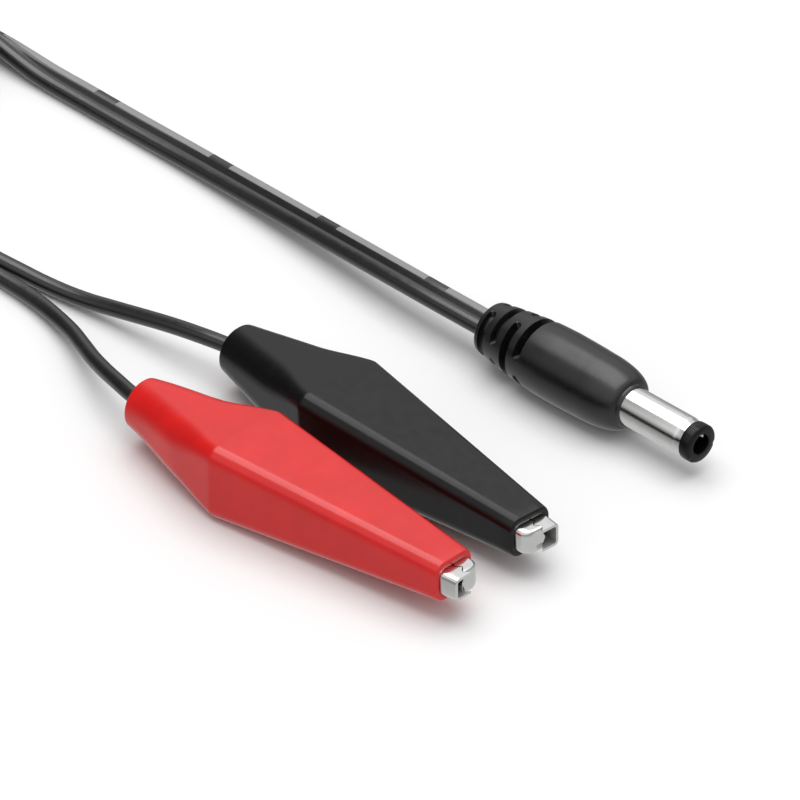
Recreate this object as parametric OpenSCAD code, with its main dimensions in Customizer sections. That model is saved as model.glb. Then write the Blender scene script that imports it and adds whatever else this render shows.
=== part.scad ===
// Low-voltage power lead: a barrel plug on a flat twin cord that parts into
// two single leads, each ending in a sprung crocodile clip in a soft boot.
// Millimetres. The lead lies on the plane z = 0, with the plug pointing +X.

/* [Plug] */
// Outer diameter of the metal barrel
barrel_d = 5.5; // [5.4:0.1:5.7]
// Bore of the centre contact
contact_bore_d = 2.1; // [1.9:0.1:2.1]
// Length of bare barrel between the handle and the nose ring
barrel_len = 11; // [9:0.5:12]
// Length of the insulating nose ring
nose_len = 1.6; // [1.4:0.1:2.2]
// Length of the moulded handle
handle_len = 26; // [26:0.5:30]
// Largest diameter of the moulded handle
handle_d = 10.1; // [9.6:0.1:10.6]
// Diameter of the strain relief at the cord end
relief_d = 7.5; // [7.2:0.1:7.8]
// Distance from one strain relief slot to the next
slot_pitch = 2.4; // [2.2:0.1:2.5]
// Width of a strain relief slot
slot_w = 1.1; // [0.8:0.1:1.2]

/* [Clips] */
// Length of a clip from the boot's cord end to the jaw tips
clip_len = 60.4; // [60.4:0.2:64]
// Width of the boot across the shoulders
boot_w = 14.3; // [14.1:0.1:15]
// Height of the boot at the shoulders
boot_h = 11.2; // [11:0.1:12]
// Distance from the boot's cord end to its shoulders
shoulder_x = 19.9; // [19.7:0.1:20.5]
// Width of the boot's mouth
mouth_w = 6.8; // [6.6:0.1:7.2]
// Height of the boot's mouth
mouth_h = 6.1; // [5.8:0.1:6.5]
// Thickness of the jaws' sheet steel
sheet = 0.45; // [0.4:0.05:0.5]
// How far a jaw opens, in degrees
jaw_opening = 16; // [6:1:16]

/* [Cord] */
// Diameter of one insulated conductor
wire_d = 2.26; // [2.1:0.02:2.3]
// Mean radius of the outermost turn of the coil
coil_r = 28; // [27:0.5:28]

/* [Layout] */
// Sideways place of the plug
plug_y = 23.9; // [23.4:0.1:24.4]
// Heading of the red clip, in degrees
red_yaw = 0.9; // [0:0.1:1.5]
// Heading of the black clip, in degrees
black_yaw = -3.7; // [-4:0.1:-3]

/* [Hidden] */
$fn = 48;

// Places, cord end first
plug_x = -9.8;
plug_z = handle_d / 2;
red_x = -30.6;
red_y = -22.2;
black_x = -30.2;
black_y = -3.5;
// A clip rests on its shoulder, with its jaws tipped up a little
clip_tilt = 0.65;
clip_z = boot_h / 2 - shoulder_x * sin(clip_tilt);

// Plug, along its own x from the cord end of the handle
wire_r = wire_d / 2;
strand_r = 0.6;
barrel_r = barrel_d / 2;
barrel_wall = 0.35;
barrel_seat_r = barrel_r - 0.2;
contact_r = contact_bore_d / 2;
contact_wall = 0.35;
running_gap = 0.05;
lip_len = 0.5;
lip_r = barrel_r + 0.75;
dome_len = 6;
belly_x = 13.5;
core_start = 11;
core_r = 3.3;
core_end = handle_len - 3;
sleeve_rear = core_end - 4;
barrel_end = handle_len + barrel_len;
nose_bore_r = 1.5;
nose_edge = 0.3;
slot_count = 4;
slot_floor_r = 3.1;
slot_angle = 140;
first_flange = 0.85;

// Clip, along its own x from the boot's cord end
pivot_x = 34;
jaw_rear_x = 20.8;
jaw_rear_w = 6;
jaw_tip_w = 2.6;
jaw_tip_h = 1.75;
fixed_rear_h = 3.8;
moving_rear_h = 2.9;
fixed_tip_x = clip_len - 0.6;
ear_r = 3;
rivet_r = 1;
rivet_head_r = 1.7;
rivet_head = 0.35;
rivet_seat = 3.36;
tooth_pitch = 1.6;
tooth_depth = 0.4;
tooth_start_x = 39;
tooth_count = floor((fixed_tip_x - tooth_start_x) / tooth_pitch * 2);
jaw_gap = 0.2;
crimp_x = 21.3;
crimp_y = 4.4;
crimp_len = 3;
crimp_wall = 0.4;
spring_wire_r = 0.3;
spring_r = 1.75;
spring_half = 1.25;
boot_front_x = clip_len - 2.7;
boot_wall = 0.8;
mouth_wall = 0.36;
boot_end_r = 3.6;
boot_corner_r = 1.7;
mouth_corner_r = 1.3;
collar_len = 3;
collar_bore_r = wire_r + 1;
neck_end_x = 19.2;
// The red lead pulls its boot's neck to one side
red_pull = 0.95;
pull_len = 12;
side_start_x = 21;
corner_steps = 5;
wedge = jaw_opening + 0.6;

// Cord: routes are [x, y, z, twist], twist in degrees from lying flat
coil_x = -125;
coil_y = 0.5;
coil_pitch = 2.5;
coil_turns_per_layer = 2.3;
tie_thickness = 0.4;
coil_floor = tie_thickness + 0.05;
coil_layer = 2 * wire_d + 0.03;
tie_width = 4;
tie_angle = 200;
plug_route = [
    [-9.8, 23.9, 5.05, 0], [-15, 23.9, 5.05, 0], [-21, 24, 4.95, 0], [-28, 24.4, 4.6, 0],
    [-35, 25, 4.05, 0], [-42, 25.7, 3.4, 0], [-49, 26.4, 2.75, 0], [-56, 27, 2.2, 0],
    [-63, 27.5, 1.75, 0], [-70, 27.9, 1.4, 0], [-77, 28.1, 1.2, 0], [-84, 28.2, 1.13, 0],
    [-91, 28.3, 1.13, 0], [-98, 28.3, 1.25, 4], [-104, 28.4, 1.8, 18],
    [-109, 28.5, 2.3, 38], [-114, 28.5, 2.6, 60], [-119, 28.5, 2.71, 80],
    [-125, 28.5, 2.71, 90]
];
tail_route = [
    [-105.2, -19.3, 7.26, 90], [-102, -16.3, 6.8, 88], [-98.5, -13.5, 5.7, 80],
    [-95, -11.4, 4.4, 62], [-91.5, -9.9, 3.1, 42], [-88, -8.9, 2, 20],
    [-84, -8.4, 1.35, 5], [-80, -8.3, 1.13, 0]
];
red_route = [
    [-80, -9.4, 1.13], [-76, -9.5, 1.13], [-72, -9.6, 1.13], [-68, -9.7, 1.15],
    [-64, -10, 1.2], [-60, -10.6, 1.35], [-56, -11.6, 1.65], [-52, -13, 2.15],
    [-48, -14.9, 2.8], [-44, -16.9, 3.6], [-40, -18.6, 4.4], [-37, -19.7, 4.95],
    [-34, -20.6, 5.25], [-31, -21.2, 5.4], [-27, -21.6, 5.5], [-23, -21.6, 5.55],
    [-19, -21.1, 5.6], [-15, -19.5, 5.6], [-10.6, -17.8, 5.6]
];
black_route = [
    [-80, -7.2, 1.13], [-76, -7.1, 1.13], [-72, -7, 1.13], [-68, -6.8, 1.13],
    [-64, -6.6, 1.15], [-60, -6.3, 1.3], [-56, -5.9, 1.65], [-52, -5.5, 2.3],
    [-48, -5.2, 3.05], [-44, -4.9, 3.8], [-40, -4.6, 4.45], [-36, -4.3, 4.95],
    [-33, -4, 5.2], [-30, -3.8, 5.35], [-26, -3.9, 5.5], [-22, -4.5, 5.6],
    [-18, -5.7, 5.6], [-14, -7.4, 5.6], [-10.4, -9, 5.6]
];

// ---------- helpers ----------

// A value part of the way, t, from a to b
function part_way(a, b, t) = a + (b - a) * t;

// A profile of [radius, x] points turned about the x axis
module turned(profile) {
    rotate([0, 90, 0])
        rotate_extrude()
            polygon(profile);
}

// A round bar along x
module bar(x, r, length) {
    translate([x, 0, 0])
        rotate([0, 90, 0])
            cylinder(r = r, h = length);
}

// A straight round wire between two points
module wire(a, b, r) {
    d = b - a;
    translate(a)
        rotate([0, acos(d[2] / norm(d)), atan2(d[1], d[0])])
            cylinder(r = r, h = norm(d), $fn = 24);
}

// Side faces between rings of n points each, as triangles, over some spans of a ring
function skin(rings, n, spans, base = 0, flip = false) = [
    for (i = [0 : rings - 2], j = [0 : spans - 1])
        let (
            a = base + i * n + j, b = base + i * n + (j + 1) % n,
            c = a + n, d = b + n
        )
        each flip ? [[a, c, b], [b, c, d]] : [[a, b, c], [b, d, c]]
];

// A solid skinned over a list of rings
module loft(rings) {
    n = len(rings[0]);
    last = (len(rings) - 1) * n;
    polyhedron(
        points = [for (ring = rings, p = ring) p],
        faces = concat(
            skin(len(rings), n, n, flip = true),
            [[for (j = [0 : n - 1]) j]],
            [[for (j = [n - 1 : -1 : 0]) last + j]]
        )
    );
}

// A shell skinned between outer rings and inner rings. A closed one goes all
// round, and an open one has two long edges.
module shell_loft(outer, inner, closed) {
    n = len(outer[0]);
    count = len(outer);
    base = count * n;
    last = (count - 1) * n;
    spans = closed ? n : n - 1;
    polyhedron(
        points = concat([for (ring = outer, p = ring) p], [for (ring = inner, p = ring) p]),
        faces = concat(
            skin(count, n, spans, flip = true),
            skin(count, n, spans, base),
            [for (j = [0 : spans - 1]) each [
                [j, (j + 1) % n, base + j], [(j + 1) % n, base + (j + 1) % n, base + j]
            ]],
            [for (j = [0 : spans - 1]) each [
                [last + j, base + last + j, last + (j + 1) % n],
                [last + (j + 1) % n, base + last + j, base + last + (j + 1) % n]
            ]],
            closed ? [] : [for (i = [0 : count - 2], j = [0, n - 1])
                let (a = i * n + j, b = a + n, c = base + a, d = base + b)
                each j == 0 ? [[a, c, b], [b, c, d]] : [[a, b, c], [b, d, c]]]
        )
    );
}

// ---------- cord ----------

function point_of(p) = [p[0], p[1], p[2]];

function heading(route, i) =
    let (
        a = point_of(route[max(i - 1, 0)]),
        b = point_of(route[min(i + 1, len(route) - 1)])
    )
    (b - a) / norm(b - a);

// Rings of a cord along a route: half_w across, half_t thick
function cord_rings(route, half_w, half_t) = [
    for (i = [0 : len(route) - 1])
        let (
            ahead = heading(route, i),
            flat_side = cross([0, 0, 1], ahead),
            side = flat_side / norm(flat_side),
            up = cross(ahead, side),
            twist = len(route[i]) > 3 ? route[i][3] : 0,
            wide = side * cos(twist) + up * sin(twist),
            thin = up * cos(twist) - side * sin(twist)
        )
        [for (k = [0 : 7])
            point_of(route[i]) + wide * half_w * cos(45 * k + 22.5) / cos(22.5)
                + thin * half_t * sin(45 * k + 22.5) / cos(22.5)]
];

module twin_cord_run() {
    color("dimgray")
        loft(cord_rings(plug_route, wire_d, wire_r));
}

module twin_cord_tail() {
    color("dimgray")
        loft(cord_rings(tail_route, wire_d, wire_r));
}

module red_lead() {
    color("dimgray")
        loft(cord_rings(red_route, wire_r, wire_r));
}

module black_lead() {
    color("dimgray")
        loft(cord_rings(black_route, wire_r, wire_r));
}

coil_outer = coil_r + wire_r;
coil_inner = coil_r - coil_pitch * coil_turns_per_layer - wire_r;
coil_height = coil_floor + 2 * coil_layer;

module cord_coil() {
    color("dimgray")
        translate([coil_x, coil_y, 0])
            rotate_extrude($fn = 96)
                translate([coil_inner, coil_floor])
                    square([coil_outer - coil_inner, 2 * coil_layer]);
}

// A strap once round the turns of the coil
module cord_tie() {
    slack = 0.2;
    depth = coil_outer - coil_inner + 2 * slack;
    color("black")
        translate([coil_x, coil_y, 0])
            rotate([0, 0, tie_angle])
                translate([coil_inner - slack, -tie_width / 2, 0])
                    difference() {
                        translate([-tie_thickness, 0, 0])
                            cube([depth + 2 * tie_thickness, tie_width,
                                coil_height + slack + tie_thickness]);
                        translate([0, -1, tie_thickness])
                            cube([depth, tie_width + 2, coil_height + slack - tie_thickness]);
                    }
}

// ---------- plug ----------

module at_plug() {
    translate([plug_x, plug_y, plug_z])
        children();
}

// The moulded handle's outline, from the cord end to the lip
handle_profile = concat(
    [[0, 0], [relief_d / 2 - 0.4, 0], [relief_d / 2, 0.4]],
    [for (i = [1 : 6])
        let (t = i / 6)
        [part_way(relief_d / 2, handle_d / 2, sin(90 * t)), part_way(0.4, belly_x, t)]],
    [for (i = [0 : 8])
        let (t = i / 8)
        [part_way(lip_r, handle_d / 2 - 0.1, cos(90 * t)),
            handle_len - lip_len - dome_len * (1 - sin(90 * t))]],
    [[lip_r, handle_len], [0, handle_len]]
);

// The two slots of one ring, on opposite sides
module slot_pair(x, turn) {
    for (side = [0, 180])
        rotate([0, 90, 0])
            rotate([0, 0, turn + side - slot_angle / 2])
                rotate_extrude(angle = slot_angle)
                    translate([slot_floor_r, x])
                        square([3, slot_w]);
}

module plug_handle() {
    color([0.08, 0.08, 0.08])
        at_plug()
            difference() {
                turned(handle_profile);
                bar(core_start, core_r, core_end - core_start);
                bar(core_end - 0.5, barrel_seat_r, 5);
                bar(-1, 0.9, core_start + 2);
                for (k = [0 : slot_count - 1])
                    slot_pair(first_flange + k * slot_pitch, k % 2 == 0 ? 90 : 0);
            }
}

// The hard inner moulding that holds the contacts and the wire ends
module plug_core() {
    color("gainsboro")
        at_plug()
            difference() {
                bar(core_start, core_r - 0.02, sleeve_rear - core_start);
                for (side = [-1, 1])
                    translate([0, side * wire_r, 0])
                        bar(core_start - 1, strand_r + 0.02, 7);
            }
}

module barrel_sleeve() {
    flange = 0.5;
    color("silver")
        at_plug()
            turned([
                [barrel_r - barrel_wall, sleeve_rear], [barrel_r + 0.3, sleeve_rear],
                [barrel_r + 0.3, sleeve_rear + flange], [barrel_seat_r, sleeve_rear + flange],
                [barrel_seat_r, handle_len], [barrel_r, handle_len],
                [barrel_r, barrel_end], [barrel_r - barrel_wall, barrel_end]
            ]);
}

module barrel_insulator() {
    inside = barrel_r - barrel_wall - 0.02;
    tube_bore = contact_r + contact_wall + 0.02;
    nose_end = barrel_end + nose_len;
    color([0.12, 0.12, 0.12])
        at_plug()
            turned([
                [tube_bore, sleeve_rear + 0.6], [inside, sleeve_rear + 0.6],
                [inside, barrel_end], [barrel_r, barrel_end],
                [barrel_r, nose_end - nose_edge], [barrel_r - nose_edge, nose_end],
                [nose_bore_r, nose_end], [nose_bore_r, barrel_end + 0.4],
                [tube_bore, barrel_end + 0.4]
            ]);
}

// The spring tube that grips the socket's pin, split along its front
module centre_contact() {
    tube_start = sleeve_rear + 2;
    slit_len = 6;
    color("goldenrod")
        at_plug()
            difference() {
                bar(sleeve_rear + 0.05, contact_r + contact_wall, barrel_end + 0.3 - sleeve_rear);
                bar(tube_start, contact_r, barrel_end + 1 - tube_start);
                translate([barrel_end + 1 - slit_len, -0.15, -3])
                    cube([slit_len, 0.3, 6]);
            }
}

// The two stripped and soldered ends of the twin cord, with their insulation
module plug_wire_ends() {
    color("peru")
        at_plug()
            for (side = [-1, 1])
                translate([0, side * wire_r, 0])
                    bar(core_start + 0.05, strand_r, 5.9);
}

// ---------- clip ----------

module at_red() {
    translate([red_x, red_y, clip_z])
        rotate([0, -clip_tilt, red_yaw])
            children();
}

// The black clip lies rolled over, so its moving jaw is on the other side
module at_black() {
    translate([black_x, black_y, clip_z])
        rotate([0, -clip_tilt, black_yaw])
            rotate([180, 0, 0])
                children();
}

// How far along the neck or the taper a place is, from 0 to 1
function neck_t(x) = min(x / shoulder_x, 1);
function taper_t(x) = max((x - shoulder_x) / (boot_front_x - shoulder_x), 0);

// How far the neck is pulled aside at its cord end, fading out along the neck
function fade(t) = let (u = min(max(t, 0), 1)) 1 - u * u * (3 - 2 * u);
function pull_at(x, pull) = pull * fade((x - 1) / pull_len);

// The boot's outer half width, half height and corner radius
function boot_size(x) = x < shoulder_x
    ? let (t = neck_t(x), lip = x < 0.3 ? 0.3 - x : 0)
        [part_way(boot_end_r, boot_w / 2, t) - lip, part_way(boot_end_r, boot_h / 2, t) - lip,
            part_way(boot_end_r - 0.05 - lip, boot_corner_r, t)]
    : let (t = taper_t(x))
        [part_way(boot_w / 2, mouth_w / 2, t), part_way(boot_h / 2, mouth_h / 2, t),
            part_way(boot_corner_r, mouth_corner_r, t)];

function wall_at(x) = part_way(boot_wall, mouth_wall, taper_t(x));

// The same for the hollow inside the boot, which starts with a snug collar
function hollow_size(x) = x <= collar_len
    ? [collar_bore_r, collar_bore_r, collar_bore_r - 0.05]
    : boot_size(x) - wall_at(x) * [1, 1, 0.9];

// One corner of a rounded rectangle, quarter 0 to 3, counter-clockwise in y and z
function corner(size, quarter) =
    let (
        cy = (quarter == 0 || quarter == 3 ? 1 : -1) * (size[0] - size[2]),
        cz = (quarter < 2 ? 1 : -1) * (size[1] - size[2])
    )
    [for (i = [0 : corner_steps])
        let (a = 90 * quarter + 90 * i / corner_steps)
        [cy + size[2] * cos(a), cz + size[2] * sin(a)]];

function ring(x, size, shift) = [
    for (q = [0 : 3], p = corner(size, q)) [x, p[0] + shift, p[1]]
];

// Half of a rounded rectangle on the +y side, starting cut away from the middle
function half_ring(x, size, cut) = [
    for (p = concat([[cut, -size[1]]], corner(size, 3), corner(size, 0), [[cut, size[1]]]))
        [x, p[0], p[1]]
];

// One side of the boot, over the +y half
module boot_side(xs, cuts) {
    shell_loft(
        [for (i = [0 : len(xs) - 1]) half_ring(xs[i], boot_size(xs[i]), cuts[i])],
        [for (i = [0 : len(xs) - 1]) half_ring(xs[i], hollow_size(xs[i]), cuts[i])],
        false
    );
}

// The boot's neck all round, and its side over the fixed jaw
module boot_body(pull) {
    neck_x = [0, 0.3, collar_len, collar_len + 1.5, 7, 10, 13, 16, 18.5, neck_end_x];
    side_x = [neck_end_x, shoulder_x, pivot_x, boot_front_x];
    shell_loft(
        [for (x = neck_x) ring(x, boot_size(x), pull_at(x, pull))],
        [for (x = neck_x) ring(x, hollow_size(x), pull_at(x, pull))],
        true
    );
    boot_side(side_x, [for (x = side_x) jaw_gap / 2]);
}

// The boot's side over the moving jaw, cut back behind the pivot where it folds
module boot_jaw_side() {
    side_x = [side_start_x, pivot_x, boot_front_x];
    mirror([0, 1, 0])
        boot_side(side_x, [for (x = side_x) jaw_gap / 2 + max(pivot_x - x, 0) * tan(wedge)]);
}

// Half width of the closed jaws
function jaw_w(x) =
    part_way(jaw_tip_w, jaw_rear_w, (clip_len - x) / (clip_len - jaw_rear_x));

// The saw edge where the jaws meet. It starts with a point or, for flip -1, with a gap.
function teeth(flip) = [
    for (i = [0 : tooth_count])
        [tooth_start_x + i * tooth_pitch / 2,
            flip * (i % 2 == 0 ? -1 : 1) * tooth_depth + jaw_gap / 2]
];

// Outline of a jaw's side plate: saw edge, ear round the pivot, and handle
module jaw_plate(flip, tip_x) {
    saw = teeth(flip);
    end_y = saw[len(saw) - 1][1];
    polygon(concat(
        [[jaw_rear_x, jaw_w(jaw_rear_x)], [jaw_rear_x, jaw_w(jaw_rear_x) - 2],
            [pivot_x - ear_r - 1.5, 1.8], [pivot_x, jaw_gap / 2]],
        saw,
        [[tip_x, end_y], [tip_x, jaw_w(tip_x)]]
    ));
    translate([pivot_x, 0])
        circle(r = ear_r);
}

// A channel of sheet steel on the +y side: an outer wall and two side plates
module jaw_channel(flip, tip_x, rear_h) {
    run = clip_len - jaw_rear_x;
    slope = asin((rear_h - jaw_tip_h) / run);
    for (side = [0, 1])
        mirror([0, 0, side])
            translate([clip_len, 0, jaw_tip_h])
                rotate([0, slope, 0])
                    translate([-clip_len, 0, -sheet])
                        linear_extrude(sheet)
                            jaw_plate(flip, tip_x);
    translate([clip_len, jaw_tip_w, 0])
        rotate([0, 0, -asin((jaw_rear_w - jaw_tip_w) / run)])
            rotate([90, 0, 0])
                linear_extrude(sheet)
                    polygon([[-run, -rear_h], [tip_x - clip_len, -jaw_tip_h],
                        [tip_x - clip_len, jaw_tip_h], [-run, rear_h]]);
}

// The jaw that holds the lead, with a closed nose and the crimp
module fixed_jaw() {
    nose_h = jaw_tip_h - sheet - 0.1;
    nose_reach = 0.72;
    difference() {
        union() {
            jaw_channel(1, fixed_tip_x, fixed_rear_h);
            translate([fixed_tip_x - sheet, 0, 0])
                rotate([90, 0, 90])
                    linear_extrude(sheet)
                        polygon([[jaw_w(fixed_tip_x) - 0.1, -nose_h - 0.2],
                            [jaw_w(fixed_tip_x) - 0.1, nose_h + 0.2],
                            [0.8, nose_h + 0.2], [0.3, nose_h], [-nose_reach, 0],
                            [0.3, -nose_h], [0.8, -nose_h - 0.2]]);
            translate([0, crimp_y, 0])
                bar(crimp_x, strand_r + crimp_wall, crimp_len);
            translate([crimp_x, crimp_y, -0.4])
                cube([crimp_len, jaw_rear_w - sheet - crimp_y + 0.1, 0.8]);
        }
        translate([pivot_x, 0, -5])
            cylinder(r = rivet_r, h = 10);
        translate([0, crimp_y, 0])
            bar(crimp_x - 1, strand_r + 0.02, crimp_len + 2);
    }
}

// The jaw with an open channel at its tip, which turns on the rivet
module moving_jaw() {
    mirror([0, 1, 0])
        difference() {
            jaw_channel(-1, clip_len, moving_rear_h);
            translate([pivot_x, 0, -5])
                cylinder(r = rivet_r + running_gap, h = 10);
        }
}

module jaw_rivet() {
    translate([pivot_x, 0, -rivet_seat])
        cylinder(r = rivet_r, h = 2 * rivet_seat);
    for (side = [0, 1])
        mirror([0, 0, side])
            translate([pivot_x, 0, rivet_seat])
                cylinder(r = rivet_head_r, h = rivet_head);
}

// A torsion spring, its close turns as one sleeve, whose two legs push the handles apart
module jaw_spring() {
    leg_x = jaw_rear_x + 1.5;
    leg_y = jaw_w(leg_x) - sheet - spring_wire_r - 0.1;
    leg_z = spring_half - spring_wire_r - 0.05;
    sleeve_t = spring_wire_r + 0.05;
    translate([pivot_x, 0, 0])
        rotate_extrude()
            translate([spring_r - sleeve_t, -spring_half])
                square([2 * sleeve_t, 2 * spring_half]);
    for (side = [-1, 1])
        wire([pivot_x, side * spring_r, side * leg_z], [leg_x, side * leg_y, side * leg_z],
            spring_wire_r);
}

// The stripped strands of the lead, held in the crimp
module wire_end() {
    translate([0, crimp_y, 0])
        bar(crimp_x - 2, strand_r, crimp_len + 2.8);
}

module red_boot_body() { color("crimson") at_red() boot_body(red_pull); }
module red_boot_jaw_side() { color("crimson") at_red() boot_jaw_side(); }
module red_fixed_jaw() { color("silver") at_red() fixed_jaw(); }
module red_moving_jaw() { color("silver") at_red() moving_jaw(); }
module red_jaw_rivet() { color("gray") at_red() jaw_rivet(); }
module red_jaw_spring() { color("gray") at_red() jaw_spring(); }
module red_wire_end() { color("peru") at_red() wire_end(); }

module black_boot_body() { color([0.1, 0.1, 0.1]) at_black() boot_body(0); }
module black_boot_jaw_side() { color([0.1, 0.1, 0.1]) at_black() boot_jaw_side(); }
module black_fixed_jaw() { color("silver") at_black() fixed_jaw(); }
module black_moving_jaw() { color("silver") at_black() moving_jaw(); }
module black_jaw_rivet() { color("gray") at_black() jaw_rivet(); }
module black_jaw_spring() { color("gray") at_black() jaw_spring(); }
module black_wire_end() { color("peru") at_black() wire_end(); }

plug_handle();
plug_core();
barrel_sleeve();
barrel_insulator();
centre_contact();
plug_wire_ends();
red_boot_body();
red_boot_jaw_side();
red_fixed_jaw();
red_moving_jaw();
red_jaw_rivet();
red_jaw_spring();
red_wire_end();
black_boot_body();
black_boot_jaw_side();
black_fixed_jaw();
black_moving_jaw();
black_jaw_rivet();
black_jaw_spring();
black_wire_end();
twin_cord_run();
cord_coil();
twin_cord_tail();
red_lead();
black_lead();
cord_tie();
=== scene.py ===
import math

import bpy
import numpy as np
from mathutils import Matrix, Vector


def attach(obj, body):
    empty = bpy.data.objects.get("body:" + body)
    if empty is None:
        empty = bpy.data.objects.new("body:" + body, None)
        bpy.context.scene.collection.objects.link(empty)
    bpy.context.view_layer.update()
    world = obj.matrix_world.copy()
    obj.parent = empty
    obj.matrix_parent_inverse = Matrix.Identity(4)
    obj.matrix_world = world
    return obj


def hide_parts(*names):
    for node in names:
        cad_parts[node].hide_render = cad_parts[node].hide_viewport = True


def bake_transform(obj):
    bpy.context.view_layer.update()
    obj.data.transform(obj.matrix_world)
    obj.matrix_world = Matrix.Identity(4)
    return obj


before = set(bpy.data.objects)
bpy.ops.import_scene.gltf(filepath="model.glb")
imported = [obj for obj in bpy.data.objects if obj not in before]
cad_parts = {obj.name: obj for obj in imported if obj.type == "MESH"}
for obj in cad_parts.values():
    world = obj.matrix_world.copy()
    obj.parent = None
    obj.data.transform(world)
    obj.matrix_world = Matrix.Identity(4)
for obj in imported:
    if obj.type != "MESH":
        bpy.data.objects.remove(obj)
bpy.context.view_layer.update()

# Sizes below are in millimetres, and become metres when a mesh is made.
MM = 0.001

# ---------------------------------------------------------------- camera

VIEW_AZIMUTH = 44.3
VIEW_ELEVATION = 35.264
VIEW_DISTANCE = 3.6
VIEW_WIDTH = 0.1064
VIEW_CENTRE = Vector((-0.0119, 0.00846, 0))


def direction(azimuth, elevation):
    """Unit vector from the scene towards that azimuth and elevation."""
    a, e = math.radians(azimuth), math.radians(elevation)
    return Vector((math.sin(a) * math.cos(e), -math.cos(a) * math.cos(e), math.sin(e)))


def make_camera():
    back = direction(VIEW_AZIMUTH, VIEW_ELEVATION)
    data = bpy.data.cameras.new("camera")
    data.lens = data.sensor_width * VIEW_DISTANCE / VIEW_WIDTH
    data.clip_start, data.clip_end = 0.1, 20
    camera = bpy.data.objects.new("camera", data)
    camera.location = VIEW_CENTRE + back * VIEW_DISTANCE
    camera.rotation_mode = "QUATERNION"
    camera.rotation_quaternion = (-back).to_track_quat("-Z", "Y")
    bpy.context.scene.collection.objects.link(camera)
    bpy.context.scene.camera = camera


make_camera()

# ---------------------------------------------------------------- materials


class Shader:
    """A principled material whose nodes are added by short calls."""

    def __init__(self, name, **sockets):
        self.material = bpy.data.materials.new(name)
        self.material.use_nodes = True
        self.tree = self.material.node_tree
        self.main = self.tree.nodes["Principled BSDF"]
        for key, value in sockets.items():
            self.main.inputs[key.replace("_", " ")].default_value = value
        self.place = self.node("ShaderNodeTexCoord").outputs["Object"]

    def node(self, kind, **settings):
        made = self.tree.nodes.new(kind)
        for key, value in settings.items():
            setattr(made, key, value)
        return made

    def join(self, a, b):
        self.tree.links.new(a, b)

    def noise(self, scale, detail=3.0, rough=0.55, stretch=(1, 1, 1)):
        mapping = self.node("ShaderNodeMapping")
        mapping.inputs["Scale"].default_value = stretch
        self.join(self.place, mapping.inputs["Vector"])
        noise = self.node("ShaderNodeTexNoise")
        noise.inputs["Scale"].default_value = scale
        noise.inputs["Detail"].default_value = detail
        noise.inputs["Roughness"].default_value = rough
        self.join(mapping.outputs["Vector"], noise.inputs["Vector"])
        return noise.outputs["Fac"]

    def spread(self, value, low, high, start=0.35, end=0.65):
        """value's usual range turned into low to high."""
        node = self.node("ShaderNodeMapRange")
        for key, number in (
            ("From Min", start), ("From Max", end), ("To Min", low), ("To Max", high)
        ):
            node.inputs[key].default_value = number
        self.join(value, node.inputs["Value"])
        return node.outputs["Result"]

    def mix(self, factor, a, b):
        node = self.node("ShaderNodeMix", data_type="RGBA")
        self.join(factor, node.inputs["Factor"])
        node.inputs["A"].default_value = (*a, 1)
        node.inputs["B"].default_value = (*b, 1)
        return node.outputs["Result"]

    def colour(self, output):
        self.join(output, self.main.inputs["Base Color"])

    def roughness(self, output):
        self.join(output, self.main.inputs["Roughness"])

    def bump(self, height, strength, distance):
        node = self.node("ShaderNodeBump")
        node.inputs["Strength"].default_value = strength
        node.inputs["Distance"].default_value = distance
        self.join(height, node.inputs["Height"])
        last = self.main.inputs["Normal"].links
        if last:
            self.join(last[0].from_socket, node.inputs["Normal"])
        self.join(node.outputs["Normal"], self.main.inputs["Normal"])


def soft_plastic(name, colour, roughness, grain=0.1, gloss=0.5):
    """Moulded plastic: fine grain, uneven gloss and a little colour variation."""
    s = Shader(name, IOR=1.5, Specular_IOR_Level=gloss)
    paler = tuple(min(1, c * 1.06 + 0.0005) for c in colour)
    darker = tuple(c * 0.94 for c in colour)
    s.colour(s.mix(s.spread(s.noise(160, 4), 0, 1), darker, paler))
    s.roughness(s.spread(s.noise(700, 5), roughness - 0.03, roughness + 0.04))
    s.bump(s.noise(5200, 2), grain, 0.00002)
    return s.material


def plated_metal(name, colour, roughness, stretch=(1, 1, 1), scratch=0.04, metallic=1.0):
    """Plated metal: faint drawn lines, smears and tiny dents."""
    s = Shader(name, Metallic=metallic)
    dull = tuple(c * 0.93 for c in colour)
    s.colour(s.mix(s.spread(s.noise(380, 5), 0, 1), dull, colour))
    s.roughness(s.spread(s.noise(900, 6, 0.65, stretch), roughness * 0.8, roughness * 1.25))
    s.bump(s.noise(2600, 3, 0.6, stretch), scratch, 0.00002)
    return s.material


RED_PVC = soft_plastic("red_pvc", (0.62, 0.011, 0.011), 0.2, 0.12, 0.6)
BLACK_PVC = soft_plastic("black_pvc", (0.0045, 0.0045, 0.0045), 0.22, 0.12, 0.36)
CORD_PVC = soft_plastic("cord_pvc", (0.012, 0.012, 0.012), 0.2, 0.04, 1.0)
STRIPE_INK = soft_plastic("stripe_ink", (0.25, 0.25, 0.25), 0.42, 0.04, 0.35)
HANDLE_PVC = soft_plastic("handle_pvc", (0.005, 0.005, 0.0055), 0.3, 0.12, 0.75)
NOSE_PLASTIC = soft_plastic("nose_plastic", (0.003, 0.003, 0.003), 0.3, 0.06, 0.3)
INNER_PLASTIC = soft_plastic("inner_plastic", (0.72, 0.7, 0.62), 0.45)
STRAP = soft_plastic("strap", (0.012, 0.012, 0.012), 0.8, 0.5, 0.3)
JAW_PLATE = plated_metal("jaw_plate", (0.86, 0.86, 0.85), 0.13, (0.15, 1, 1))
# Painted shade: a darker, duller, half-metal copy of the jaw plate, put on the jaws' inner faces
# where the channel is in shade
JAW_SHADED_INSIDE = plated_metal("jaw_inside_painted_shade", (0.42, 0.42, 0.41), 0.55, metallic=0.4)
BARREL_PLATE = plated_metal("barrel_plate", (0.88, 0.88, 0.87), 0.16, (0.05, 1, 1), 0.02)
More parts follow.
